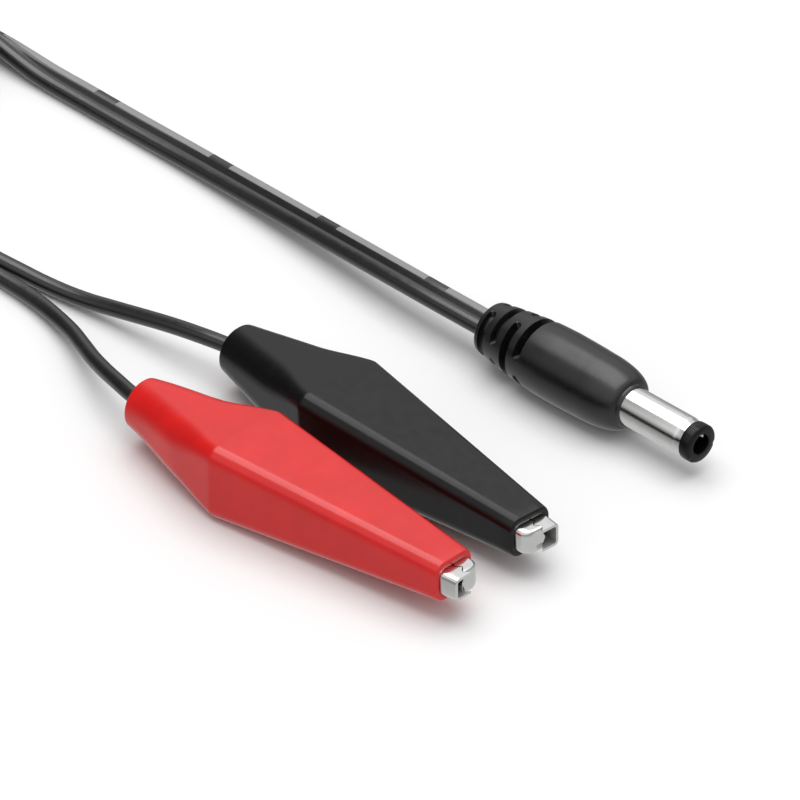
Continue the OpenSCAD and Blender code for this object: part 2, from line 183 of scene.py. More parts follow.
SPRING_PLATE = plated_metal("spring_plate", (0.55, 0.55, 0.54), 0.3)
CONTACT_PLATE = plated_metal("contact_plate", (0.85, 0.83, 0.78), 0.22)
TINNED_COPPER = plated_metal("tinned_copper", (0.82, 0.66, 0.5), 0.35, (0.05, 1, 1), 0.3)

# ---------------------------------------------------------------- mesh helpers


def piece(name, points, faces, materials, body, crease=35, face_slots=None):
    """A smooth-shaded mesh that rides on a body, from points in millimetres."""
    mesh = bpy.data.meshes.new(name)
    mesh.from_pydata((np.asarray(points, float) * MM).tolist(), [], faces)
    for m in materials:
        mesh.materials.append(m)
    if face_slots is not None:
        mesh.polygons.foreach_set("material_index", face_slots)
    mesh.shade_smooth()
    mesh.set_sharp_from_angle(angle=math.radians(crease))
    made = bpy.data.objects.new(name, mesh)
    bpy.context.scene.collection.objects.link(made)
    if body:
        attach(made, body)
    return made


def skin(ring_count, n, wrap_rings=False, flip=False):
    """Faces between rings of n points each, and from the last ring to the first."""
    faces = []
    for i in range(ring_count if wrap_rings else ring_count - 1):
        a, b = i * n, (i + 1) % ring_count * n
        for j in range(n):
            k = (j + 1) % n
            face = (a + j, a + k, b + k, b + j)
            faces.append(face[::-1] if flip else face)
    return faces


def lofted(rings, flip=False):
    """Points and faces of a solid over a list of rings, with flat ends."""
    n, count = len(rings[0]), len(rings)
    faces = skin(count, n, flip=flip)
    first, last = tuple(range(n)), tuple(range((count - 1) * n, count * n))
    faces += [first, last[::-1]] if flip else [first[::-1], last]
    return np.concatenate(rings), faces


def turned(profile, segments=96, radius=None):
    """Points and faces of a closed profile of (x, r) turned about the x axis.

    radius(x, r, angles) may change the radii of a ring."""
    angles = np.arange(segments) * 2 * math.pi / segments
    rings = []
    for x, r in profile:
        radii = np.full(segments, float(r)) if radius is None else radius(x, r, angles)
        rings.append(
            np.stack([np.full(segments, x), radii * np.cos(angles), radii * np.sin(angles)], 1)
        )
    return np.concatenate(rings), skin(len(rings), segments, wrap_rings=True)


def part_way(a, b, t):
    return a + (b - a) * t


# ---------------------------------------------------------------- cords

WIRE_R = 1.13
COIL_CENTRE = (-125, 0.5)
COIL_R = 28
COIL_PITCH = 2.5
COIL_TURNS = 4.625
LAYER_TURNS = 2.3
LAYER_LOW = 2.71
LAYER_HIGH = 7.26
CLIMB_FROM, CLIMB_TURNS = 2.1, 0.4

# Routes as in the CAD part: x, y, z and the flat cord's twist in degrees
PLUG_ROUTE = [
    (-9.2, 23.9, 5.05, 0), (-9.8, 23.9, 5.05, 0), (-15, 23.9, 5.05, 0), (-21, 24, 4.95, 0),
    (-28, 24.4, 4.6, 0), (-35, 25, 4.05, 0), (-42, 25.7, 3.4, 0), (-49, 26.4, 2.75, 0),
    (-56, 27, 2.2, 0), (-63, 27.5, 1.75, 0), (-70, 27.9, 1.4, 0), (-77, 28.1, 1.2, 0),
    (-84, 28.2, 1.13, 0), (-91, 28.3, 1.13, 0), (-98, 28.3, 1.25, 4), (-104, 28.4, 1.8, 18),
    (-109, 28.5, 2.3, 38), (-114, 28.5, 2.6, 60), (-119, 28.5, 2.71, 80),
]
TAIL_ROUTE = [
    (-102, -16.3, 6.8, 88), (-98.5, -13.5, 5.7, 80), (-95, -11.4, 4.4, 62),
    (-91.5, -9.9, 3.1, 42), (-88, -8.9, 2, 20), (-84, -8.4, 1.35, 5), (-80, -8.3, 1.13, 0),
]
RED_ROUTE = [
    (-80, -9.4, 1.13), (-76, -9.5, 1.13), (-72, -9.6, 1.13), (-68, -9.7, 1.15),
    (-64, -10, 1.2), (-60, -10.6, 1.35), (-56, -11.6, 1.65), (-52, -13, 2.15),
    (-48, -14.9, 2.8), (-44, -16.9, 3.6), (-40, -18.6, 4.4), (-37, -19.7, 4.95),
    (-34, -20.6, 5.25), (-31, -21.2, 5.4), (-27, -21.6, 5.5), (-23, -21.6, 5.55),
    (-19, -21.1, 5.6), (-15, -19.5, 5.6), (-10.6, -17.8, 5.6),
]
BLACK_ROUTE = [
    (-80, -7.2, 1.13), (-76, -7.1, 1.13), (-72, -7, 1.13), (-68, -6.8, 1.13),
    (-64, -6.6, 1.15), (-60, -6.3, 1.3), (-56, -5.9, 1.65), (-52, -5.5, 2.3),
    (-48, -5.2, 3.05), (-44, -4.9, 3.8), (-40, -4.6, 4.45), (-36, -4.3, 4.95),
    (-33, -4, 5.2), (-30, -3.8, 5.35), (-26, -3.9, 5.5), (-22, -4.5, 5.6),
    (-18, -5.7, 5.6), (-14, -7.4, 5.6), (-10.4, -9, 5.6),
]


def ease(t):
    t = min(max(t, 0), 1)
    return t * t * (3 - 2 * t)


def coil_route(steps=24):
    """Points round the coil: in along the lower layer, then out along the upper one."""
    route = []
    for i in range(int(COIL_TURNS * steps) + 1):
        turns = i / steps
        inward = min(turns, COIL_TURNS - turns, LAYER_TURNS)
        a = math.radians(90) + turns * 2 * math.pi
        r = COIL_R - COIL_PITCH * inward
        z = part_way(LAYER_LOW, LAYER_HIGH, ease((turns - CLIMB_FROM) / CLIMB_TURNS))
        route.append(
            (COIL_CENTRE[0] + r * math.cos(a), COIL_CENTRE[1] + r * math.sin(a), z, 90)
        )
    return route


def smooth(route, fine=8):
    """A smooth curve through the points of a route, with many more points."""
    p = np.array(route, float)
    p = np.vstack([2 * p[0] - p[1], p, 2 * p[-1] - p[-2]])
    out = []
    for i in range(1, len(p) - 2):
        a, b, c, d = p[i - 1], p[i], p[i + 1], p[i + 2]
        for t in np.arange(fine) / fine:
            out.append(
                0.5 * (2 * b + (c - a) * t + (2 * a - 5 * b + 4 * c - d) * t * t
                       + (3 * b - a - 3 * c + d) * t ** 3)
            )
    out.append(p[-2])
    return np.array(out)


def distances(curve):
    steps = np.linalg.norm(np.diff(curve[:, :3], axis=0), axis=1)
    return np.concatenate([[0], np.cumsum(steps)])


def at_distances(curve, wanted):
    along = distances(curve)
    return np.stack([np.interp(wanted, along, curve[:, k]) for k in range(curve.shape[1])], 1)


def swept(curve, outline):
    """Rings of an outline of (across, up) points along a curve of x, y, z and twist."""
    ahead = np.gradient(curve[:, :3], axis=0)
    ahead /= np.linalg.norm(ahead, axis=1)[:, None]
    side = np.cross([0, 0, 1], ahead)
    side /= np.linalg.norm(side, axis=1)[:, None]
    up = np.cross(ahead, side)
    twist = np.zeros((len(curve), 1))
    if curve.shape[1] > 3:
        twist = np.radians(curve[:, 3])[:, None]
    wide = side * np.cos(twist) + up * np.sin(twist)
    thin = up * np.cos(twist) - side * np.sin(twist)
    return [
        curve[i, :3] + outline[:, :1] * wide[i] + outline[:, 1:] * thin[i]
        for i in range(len(curve))
    ]


# The flat cord's outline: two round conductors joined by a thin web. The stripe
# lies on one conductor between two of these angles.
ARC = (0, 20, 36, 52, 68, 84, 100, 116, 130, 143, 155)
STRIPE_FROM, STRIPE_TO = 20, 116
WEB = 0.42


def twin_outline():
    def conductor(side, up, angles):
        return [
            (side * WIRE_R * (1 + math.cos(math.radians(a))),
             up * WIRE_R * math.sin(math.radians(a)))
            for a in angles
        ]
    return np.array(
        conductor(1, 1, ARC) + [(0, WEB)] + conductor(-1, 1, ARC[::-1])
        + conductor(-1, -1, ARC[1:]) + [(0, -WEB)] + conductor(1, -1, ARC[:0:-1])
    )


# Stripe dashes, counted in steps of the flat cord's rings from the plug
RING_STEP = 1.009
DASH_PERIOD = 22
GAP_FIRST, GAP_LAST = 10, 14
FINE_STEPS = 132


def make_twin_cord():
    curve = smooth(PLUG_ROUTE + coil_route() + TAIL_ROUTE)
    length = distances(curve)[-1]
    # Full detail near the plug, half of it further off
    steps = list(range(FINE_STEPS)) + list(range(FINE_STEPS, int(length / RING_STEP), 2))
    curve = at_distances(curve, np.array(steps + [length / RING_STEP]) * RING_STEP)
    outline = twin_outline()
    points, faces = lofted(swept(curve, outline))
    n = len(outline)
    first = len(ARC) + 1 + (len(ARC) - 1 - ARC.index(STRIPE_TO))
    last = first + ARC.index(STRIPE_TO) - ARC.index(STRIPE_FROM)
    painted = []
    for i, step in enumerate(steps):
        on = not GAP_FIRST <= step % DASH_PERIOD < GAP_LAST
        painted += [1 if on and first <= j < last else 0 for j in range(n)]
    painted += [0, 0]
    cord = piece(
        "twin_cord", points, faces, [CORD_PVC, STRIPE_INK], "lead", 50, painted
    )
    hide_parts("twin_cord_run", "cord_coil", "twin_cord_tail")


LEAD_STEP = 0.8


def make_lead(name, route):
    curve = smooth(route)
    length = distances(curve)[-1]
    curve = at_distances(curve, np.linspace(0, length, int(length / LEAD_STEP)))
    angles = np.radians(np.arange(0, 360, 15))
    outline = np.stack([np.cos(angles), np.sin(angles)], 1) * WIRE_R
    points, faces = lofted(swept(curve, outline))
    lead = piece(name + "_cord", points, faces, [CORD_PVC], "lead", 50)
    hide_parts(name)


make_twin_cord()
make_lead("red_lead", RED_ROUTE)
make_lead("black_lead", BLACK_ROUTE)

# The strap round the coil: a flat band bent into a rounded loop
TIE_ANGLE = math.radians(200)
TIE_WIDTH = 4
TIE_T = 0.4
TIE_CORNER = 1.2
TIE_SLACK = 0.15
TIE_LOW, TIE_HIGH = 0.42, 9.75
TIE_EDGE = 0.1
COIL_INNER = COIL_R - COIL_PITCH * LAYER_TURNS - WIRE_R
COIL_OUTER = COIL_R + WIRE_R


def rounded_loop(low, high, r, steps=6):
    """Points round a rounded rectangle between two corners."""
    loop = []
    for q, (cx, cy) in enumerate(
        ((high[0] - r, high[1] - r), (low[0] + r, high[1] - r),
         (low[0] + r, low[1] + r), (high[0] - r, low[1] + r))
    ):
        for i in range(steps + 1):
            a = math.radians(90 * (q + i / steps))
            loop.append((cx + r * math.cos(a), cy + r * math.sin(a)))
    return np.array(loop)


def make_tie():
    low = np.array([COIL_INNER - TIE_SLACK, TIE_LOW])
    high = np.array([COIL_OUTER + TIE_SLACK, TIE_HIGH])
    inner = rounded_loop(low, high, TIE_CORNER)
    outer = rounded_loop(low - TIE_T + 0.02, high + TIE_T, TIE_CORNER + TIE_T)
    half = TIE_WIDTH / 2
    across = np.array([math.cos(TIE_ANGLE), math.sin(TIE_ANGLE), 0])
    ahead = np.array([-math.sin(TIE_ANGLE), math.cos(TIE_ANGLE), 0])
    centre = np.array([*COIL_CENTRE, 0])
    rings = []
    for loop, along in (
        (outer, -half + TIE_EDGE), (outer, half - TIE_EDGE),
        (part_way(outer, inner, 0.3), half), (part_way(outer, inner, 0.7), half),
        (inner, half - TIE_EDGE), (inner, -half + TIE_EDGE),
        (part_way(outer, inner, 0.7), -half), (part_way(outer, inner, 0.3), -half),
    ):
        rings.append(centre + loop[:, :1] * across + loop[:, 1:] * [0, 0, 1] + along * ahead)
    tie = piece(
        "coil_strap", np.concatenate(rings), skin(len(rings), len(inner), True, True),
        [STRAP], "lead", 50,
    )
    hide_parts("cord_tie")


make_tie()

# ---------------------------------------------------------------- clips

CLIP_LEN = 60.4
BOOT_W, BOOT_H = 14.3, 11.2
SHOULDER_X = 19.9
MOUTH_W, MOUTH_H = 6.8, 6.1
# A clip rests on its shoulder, with its jaws tipped up a little
CLIP_TILT = math.radians(0.65)
CLIP_Z = BOOT_H / 2 - SHOULDER_X * math.sin(CLIP_TILT)
BOOT_FRONT = CLIP_LEN - 2.7
BOOT_END_R = 3.6
PIVOT_X = 34
SHEET = 0.4

CLIPS = {
    "red": {"at": (-30.6, -22.2), "yaw": 0.9, "rolled": False, "pull": 0.95, "pvc": RED_PVC},
    "black": {"at": (-30.2, -3.5), "yaw": -3.7, "rolled": True, "pull": 0, "pvc": BLACK_PVC},
}


def placed(points, clip):
    """Points in a clip's own frame, moved to where that clip lies."""
    p = np.array(points, float).reshape(-1, 3)
    if clip["rolled"]:
        p = p * [1, -1, -1]
    a = math.radians(clip["yaw"])
    level = p[:, 0] * math.cos(CLIP_TILT) - p[:, 2] * math.sin(CLIP_TILT)
    return np.stack([
        clip["at"][0] + math.cos(a) * level - math.sin(a) * p[:, 1],
        clip["at"][1] + math.sin(a) * level + math.cos(a) * p[:, 1],
        CLIP_Z + p[:, 0] * math.sin(CLIP_TILT) + p[:, 2] * math.cos(CLIP_TILT),
    ], 1)


NECK_CORNER, SHOULDER_CORNER, MOUTH_CORNER = 3.4, 2.0, 1.7
CORNER_RUN = 9


def raw_boot_size(x):
    """The boot's half width, half height and corner radius."""
    if x < SHOULDER_X:
        t = max(x, 0) / SHOULDER_X
        tighten = ease((x - SHOULDER_X + CORNER_RUN) / CORNER_RUN)
        corner = part_way(BOOT_END_R - 0.02, NECK_CORNER, ease(2 * t))
        return np.array([
            part_way(BOOT_END_R, BOOT_W / 2, t), part_way(BOOT_END_R, BOOT_H / 2, t),
            part_way(corner, SHOULDER_CORNER, tighten),
        ])
    t = (x - SHOULDER_X) / (BOOT_FRONT - SHOULDER_X)
    return np.array([
        part_way(BOOT_W / 2, MOUTH_W / 2, t), part_way(BOOT_H / 2, MOUTH_H / 2, t),
        part_way(SHOULDER_CORNER, MOUTH_CORNER, t),
    ])


def boot_size(x, soften=0.3):
    """The same with the shoulder's edge slightly rounded."""
    near = np.linspace(-soften, soften, 9)
    return np.mean([raw_boot_size(x + d) for d in near], axis=0)


TOP_COLUMNS, SIDE_ROWS, CORNER_STEPS = 10, 6, 14


def boot_ring(x, size):
    """A rounded rectangle, with points along its sides too."""
    w, h, r = size
    r = min(r, w - 0.01, h - 0.01)
    ring = []
    for q in range(4):
        cy = (w - r) * (1 if q in (0, 3) else -1)
        cz = (h - r) * (1 if q < 2 else -1)
        arc = [
            (cy + r * math.cos(math.radians(90 * (q + i / CORNER_STEPS))),
             cz + r * math.sin(math.radians(90 * (q + i / CORNER_STEPS))))
            for i in range(CORNER_STEPS + 1)
        ]
        ring += arc
        ny = (w - r) * (1 if (q + 1) % 4 in (0, 3) else -1)
        nz = (h - r) * (1 if (q + 1) % 4 < 2 else -1)
        end = (
            ny + r * math.cos(math.radians(90 * (q + 1))),
            nz + r * math.sin(math.radians(90 * (q + 1))),
        )
        count = TOP_COLUMNS if q % 2 == 0 else SIDE_ROWS
        for t in [0.03] + [i / count for i in range(1, count)] + [0.97]:
            ring.append((part_way(arc[-1][0], end[0], t), part_way(arc[-1][1], end[1], t)))
    return np.array([(x, y, z) for y, z in ring])


COLLAR_LEN = 3
COLLAR_R = 1.5
COLLAR_EDGE = 0.2
PULL_LEN = 12
RIM = 0.3
LIP_SIDE, LIP_TOP = 0.52, 1.17
MOUTH_ROUND = (0.18, 0.34, 0.2)
NECK_WALL, WALL_CORNER = 0.85, 0.4


def make_boot(name, clip):
    def rounded_end(x, step, size, lip, angles):
        """Rings round an end's outer edge, going in by lip at 90 degrees."""
        return [
            boot_ring(x + step * (1 - math.sin(math.radians(a))),
                      size - np.array(lip) * (1 - math.cos(math.radians(a))))
            for a in angles
        ]

    rings = rounded_end(0, RIM, boot_size(RIM), (RIM, RIM, RIM), (90, 60, 30))
    outer_x = [0.3, 0.8, 1.6, 2.8, 4, 5.5, 7, 8.5, 10, 11.5, 13, 14.5, 15.5, 16.5, 17.2]
    outer_x += [17.8, 18.2, 18.5, 18.8, 19.1, 19.4]
    outer_x += [SHOULDER_X + d for d in (-0.3, -0.15, 0, 0.15, 0.3, 0.6, 1.2)]
    outer_x += list(np.linspace(SHOULDER_X + 3, BOOT_FRONT - RIM, 16))
    rings += [boot_ring(x, boot_size(x)) for x in outer_x]
    front = boot_size(BOOT_FRONT)
    rings += rounded_end(BOOT_FRONT, -RIM, front, MOUTH_ROUND, (20, 40, 60, 90))
    rings.append(boot_ring(BOOT_FRONT, front - [LIP_SIDE - 0.04, LIP_TOP - 0.2, 0.45]))
    for x in [BOOT_FRONT - 0.15] + list(np.linspace(BOOT_FRONT - 1, COLLAR_LEN + 3, 18)):
        t = (BOOT_FRONT - x) / BOOT_FRONT
        wall = np.array([
            part_way(LIP_SIDE, NECK_WALL, t), part_way(LIP_TOP, NECK_WALL, t), WALL_CORNER
        ])
        rings.append(boot_ring(x, boot_size(x) - wall))
    rings += [
        boot_ring(x, np.array([COLLAR_R, COLLAR_R, COLLAR_R - 0.02]))
        for x in (COLLAR_LEN, 0.4, RIM / 2)
    ]
    edge_r = COLLAR_R + COLLAR_EDGE
    rings.append(boot_ring(0, np.array([edge_r, edge_r, edge_r - 0.02])))
    points = np.concatenate(rings)
    # The lead pulls the neck to one side
    points[:, 1] += [clip["pull"] * (1 - ease((x - 1) / PULL_LEN)) for x in points[:, 0]]
    points = placed(points, clip)
    faces = skin(len(rings), len(rings[0]), True)
    boot = piece(
        f"{name}_boot", points, faces, [clip["pvc"]], None, 60
    )
    # Two points across the boot's near side at the shoulder, which nothing uses
    start = np.array([SHOULDER_X, -2.5, 0])
    lean = np.array([0.1, -1, 0])
    end = start + lean * 3.5 / (lean @ lean)
    start, end = (Vector(placed(p, clip)[0]) * MM for p in (start, end))
    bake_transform(boot)
    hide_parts(f"{name}_boot_body", f"{name}_boot_jaw_side")


# Jaws of bent sheet: an outer wall and two side plates whose edges are toothed
JAW_REAR = 20.8
JAW_REAR_W, JAW_TIP_W = 6.0, 2.6
JAW_TIP_H = 1.75
REAR_H = {"fixed": 3.8, "moving": 2.9}
TIP_X = {"fixed": CLIP_LEN - 0.6, "moving": CLIP_LEN}
BEND_R = 0.75
NOSE_R = 1.3
NOSE_EDGE = 0.3
NOSE_REACH = 0.72
NOSE_BLUNT = 0.12
TOOTH_START, TOOTH_HALF, TOOTH_DEPTH = 39.6, 0.8, 0.4
JAW_GAP = 0.2
EAR_R = 3


def edge_y(x, kind):
    """Where the side plates' free edge is, on the jaw's own side."""
    off = abs(x - PIVOT_X)
    if off < EAR_R:
        return -math.sqrt(EAR_R ** 2 - off ** 2)
    if x < PIVOT_X - EAR_R - 1.5:
        t = (x - JAW_REAR) / (PIVOT_X - EAR_R - 1.5 - JAW_REAR)
        return part_way(JAW_REAR_W - 2, 1.8, t)
    if x < PIVOT_X:
        return part_way(1.8, JAW_GAP / 2, (x - PIVOT_X + EAR_R + 1.5) / (EAR_R + 1.5))
    if x < TOOTH_START:
        return JAW_GAP / 2
    phase = (x - TOOTH_START) / TOOTH_HALF
    wave = 1 - 2 * abs(phase % 2 - 1)
    return JAW_GAP / 2 + TOOTH_DEPTH * (-wave if kind == "fixed" else wave)


def jaw_section(x, kind, inset=(0, 0)):
    """Outer and inner paths of a jaw's section, as (y, z) from edge to edge."""
    t = (CLIP_LEN - x) / (CLIP_LEN - JAW_REAR)
    w = part_way(JAW_TIP_W, JAW_REAR_W, t) - inset[0]
    h = part_way(JAW_TIP_H, REAR_H[kind], t) - inset[1]
    edge = min(edge_y(x, kind), w - 1.2)
    paths = []
    for depth in (0, SHEET):
        r = BEND_R - depth
        flat = [part_way(edge, w - BEND_R, k / 3) for k in range(3)]
        low = [(y, -h + depth) for y in flat]
        arc = [
            (w - BEND_R + r * math.sin(math.radians(a)),
             -h + BEND_R - r * math.cos(math.radians(a)))
            for a in range(0, 91, 15)
        ]
        paths.append(np.array(low + arc + [(y, -z) for y, z in reversed(low + arc)]))
    return paths


def make_jaw(name, kind, clip):
    stations = [JAW_REAR, 21.2, 24, 27, 29.5, 30.98, 31.02, 31.3, 31.8, 32.5, 33.3, 34]
    stations += [2 * PIVOT_X - x for x in (33.3, 32.5, 31.8, 31.3, 31.02, 30.98)] + [38]
    stations += [TOOTH_START + TOOTH_HALF * i for i in range(26)]
    closed = kind == "fixed"
    tip = TIP_X[kind]
    stations = [x for x in stations if x < tip - NOSE_R - 0.1]
    insets = [(0, 0)] * len(stations)
    if closed:
        for a in range(0, 91, 10):
            x = tip - NOSE_R + NOSE_R * math.sin(math.radians(a))
            stations.append(x)
            over = max(0, 1 - (tip - x) / NOSE_EDGE)
            insets.append((
                NOSE_R * (1 - math.cos(math.radians(a))),
                NOSE_EDGE * (1 - math.sqrt(1 - over * over)),
            ))
    else:
        stations += [tip - 0.9, tip - 0.45, tip - 0.05, tip]
        insets += [(0, 0), (0, 0), (0, 0), (0.05, 0.05)]
    n = len(jaw_section(JAW_REAR, kind)[0])
    outer, inner = [], []
    for x, inset in zip(stations, insets):
        o, i = jaw_section(x, kind, inset)
        outer.append(np.column_stack([np.full(n, x), o]))
        inner.append(np.column_stack([np.full(n, x), i]))
    if closed:  # the inner skin stops short behind the nose plate
        for k in range(1, 8):
            inner[-k][:, 0] = np.minimum(inner[-k][:, 0], tip - SHEET - 0.02 * k)
    count = len(stations)
    base = count * n
    faces, inside = [], set()
    for i in range(count - 1):
        a, b = i * n, (i + 1) * n
        for j in range(n - 1):
            faces.append((a + j, b + j, b + j + 1, a + j + 1))
            inside.add(len(faces))
            faces.append((base + a + j, base + a + j + 1, base + b + j + 1, base + b + j))
        faces.append((a, base + a, base + b, b))
        faces.append((a + n - 1, b + n - 1, base + b + n - 1, base + a + n - 1))
    for j in range(n - 1):
        faces.append((j, j + 1, base + j + 1, base + j))
    points = np.concatenate(outer + inner)
    last = (count - 1) * n
    if not closed:
        for j in range(n - 1):
            faces.append((last + j, base + last + j, base + last + j + 1, last + j + 1))
    else:  # the nose plate, with a blunt point towards the other jaw
        y0, z0 = outer[-1][-1][1], outer[-1][-1][2]
        z1 = inner[-1][-1][2]
        half = [(y0 - 0.05, z0 * 0.8), (-NOSE_REACH, NOSE_BLUNT)]
        tips = half + [(y, -z) for y, z in reversed(half)]
        front = [(tip, y, z) for y, z in tips]
        back = [(tip - SHEET, y, z * z1 / z0) for y, z in tips]
        f0 = len(points)
        points = np.concatenate([points, front, back])
        faces.append(tuple(range(last, last + n)) + tuple(range(f0, f0 + 4)))
        under_rim = tuple(range(base + last, base + last + n))[::-1]
        faces.append(under_rim + tuple(range(f0 + 7, f0 + 3, -1)))
        chain = [last + n - 1, f0, f0 + 1, f0 + 2, f0 + 3, last]
        under = [base + last + n - 1, f0 + 4, f0 + 5, f0 + 6, f0 + 7, base + last]
        for k in range(5):
            faces.append((chain[k + 1], chain[k], under[k], under[k + 1]))
    if kind == "moving":
        points = points * [1, -1, 1]
        faces = [f[::-1] for f in faces]
    body = "lead" if closed else f"{name}_jaw"
    # The inner faces get the darker copy of the plate, which paints in the channel's shade
    material_pick = [1 if k in inside else 0 for k in range(len(faces))]
    jaw = piece(
        f"{name}_{kind}_jaw_plate", placed(points, clip), faces, [JAW_PLATE, JAW_SHADED_INSIDE], body,
        30, material_pick,
    )
    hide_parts(f"{name}_{kind}_jaw")


def make_spring(name, clip):
    """A wound torsion spring whose legs push the jaws' handles apart."""
    wire_r, coil_r, turns, half = 0.3, 1.75, 3.5, 1.1
    centre = []
    leg = (JAW_REAR + 1.5 - PIVOT_X, 5.0)
    for i in range(int(turns * 24) + 1):
        a = math.radians(90) + i * 2 * math.pi / 24
        z = -half + 2 * half * i / (turns * 24)
        centre.append((PIVOT_X + coil_r * math.cos(a), coil_r * math.sin(a), z))
    first = [
        (PIVOT_X + leg[0], leg[1], -half),
        (PIVOT_X + leg[0] / 2, (leg[1] + coil_r) / 2, -half),
    ]
    last = [
        (PIVOT_X + leg[0] / 2, -(leg[1] + coil_r) / 2, half),
        (PIVOT_X + leg[0], -leg[1], half),
    ]
    curve = smooth(first + centre + last, 3)
    angles = np.radians(np.arange(0, 360, 36))
    outline = np.stack([np.cos(angles), np.sin(angles)], 1) * wire_r
    points, faces = lofted(swept(curve, outline))
    spring = piece(
        f"{name}_spring", placed(points, clip), faces, [SPRING_PLATE], None, 50
    )
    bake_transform(spring)
    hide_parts(f"{name}_jaw_spring")


for clip_name, clip_facts in CLIPS.items():
    make_boot(clip_name, clip_facts)
    make_jaw(clip_name, "fixed", clip_facts)
    make_jaw(clip_name, "moving", clip_facts)
    make_spring(clip_name, clip_facts)

# ---------------------------------------------------------------- plug

PLUG_AT = np.array([-9.8, 23.9, 5.05])
HANDLE_LEN = 26
RELIEF_R, HANDLE_R = 3.75, 5.05
BELLY_X = 13.5
LIP_R, LIP_LEN, DOME_LEN = 3.25, 0.4, 6.2
BARREL_R = 2.75
BARREL_END = HANDLE_LEN + 11
NOSE_END = BARREL_END + 1.6
SLOT_PITCH, SLOT_HALF, SLOT_FIRST = 2.4, 0.58, 1.4
SLOT_FLOOR = 3.1
SLOT_ANGLE = math.radians(73)


def handle_radius(x):
    """The handle's outline without its slots."""
    if x < 0.4:
        return RELIEF_R - 0.4 + 0.4 * math.sin(math.acos(max(0, 1 - x / 0.4)))
    if x < BELLY_X:
        swell = math.sin(math.pi / 2 * (x - 0.4) / (BELLY_X - 0.4))
        return part_way(RELIEF_R, HANDLE_R, swell)
    dome = HANDLE_LEN - LIP_LEN - DOME_LEN
    if x < dome:
        return part_way(HANDLE_R, HANDLE_R - 0.1, ((x - BELLY_X) / (dome - BELLY_X)) ** 2)
    t = math.asin(min(1, 1 - (HANDLE_LEN - LIP_LEN - x) / DOME_LEN))
    return part_way(LIP_R, HANDLE_R - 0.1, math.cos(t))


def slotted(x, r, angles):
    """Radii of a ring of the handle, lower in the strain relief's slots."""
    radii = np.full(len(angles), r)
    for k in range(4):
        turn = 0 if k % 2 == 0 else math.pi / 2
        off = np.abs((angles - turn + math.pi / 2) % math.pi - math.pi / 2)
        along = np.maximum(off - SLOT_ANGLE + SLOT_HALF / r, 0) * r
        reach = np.hypot(x - SLOT_FIRST - SLOT_PITCH * k, along)
        open_ = np.clip((SLOT_HALF + 0.06 - reach) / 0.12, 0, 1)
        radii = np.minimum(radii, part_way(r, SLOT_FLOOR, open_ * open_ * (3 - 2 * open_)))
    return radii


